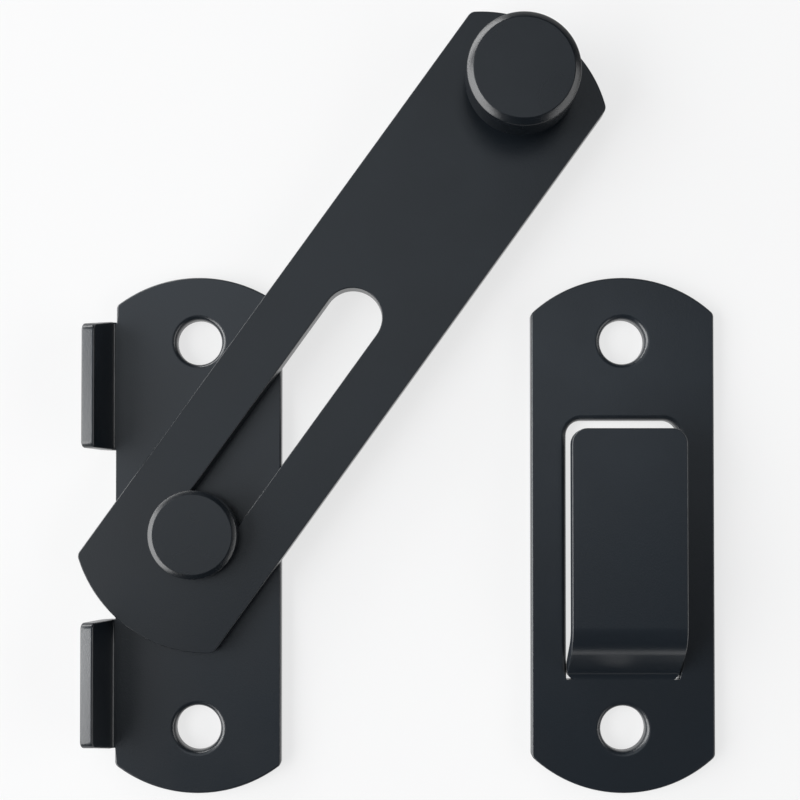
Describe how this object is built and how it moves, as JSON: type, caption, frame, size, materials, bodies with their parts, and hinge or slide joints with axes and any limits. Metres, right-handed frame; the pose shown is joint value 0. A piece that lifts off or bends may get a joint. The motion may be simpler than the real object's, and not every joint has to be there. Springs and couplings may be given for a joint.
{
  "type": "barn door latch",
  "caption": "Flip latch for a barn door: a slotted bar with a finger knob swings on a riveted stud, past folded ears, and drops into the lanced hook of a separate keeper plate.",
  "frame": {"origin": "the pivot's axis at the centre of the base plate's back face, on the plane that both plates are screwed to", "axes": "+Z out from the door towards the user, +Y up the door along the plates' length, +X from the base plate to the keeper"},
  "size_m": [0.0957, 0.1174, 0.014],
  "materials": {
    "coated_sheet": "satin black coating on pressed steel sheet",
    "coated_bar": "satin black coating on flat steel bar",
    "coated_turned": "smooth satin black coating on turned steel"
  },
  "bodies": {
    "fixed_plates": {"base_plate": "coated_sheet", "pivot_stud": "coated_turned", "keeper_plate": "coated_sheet"},
    "swing_bar": {"latch_bar": "coated_bar", "finger_knob": "coated_turned"}
  },
  "joints": [
    {"name": "bar_hinge", "type": "hinge", "parent": "fixed_plates", "child": "swing_bar", "pos_m": [0, 0, 0], "axis": [0, 0, 1], "range_deg": [-56.8, 36.2]}
  ]
}
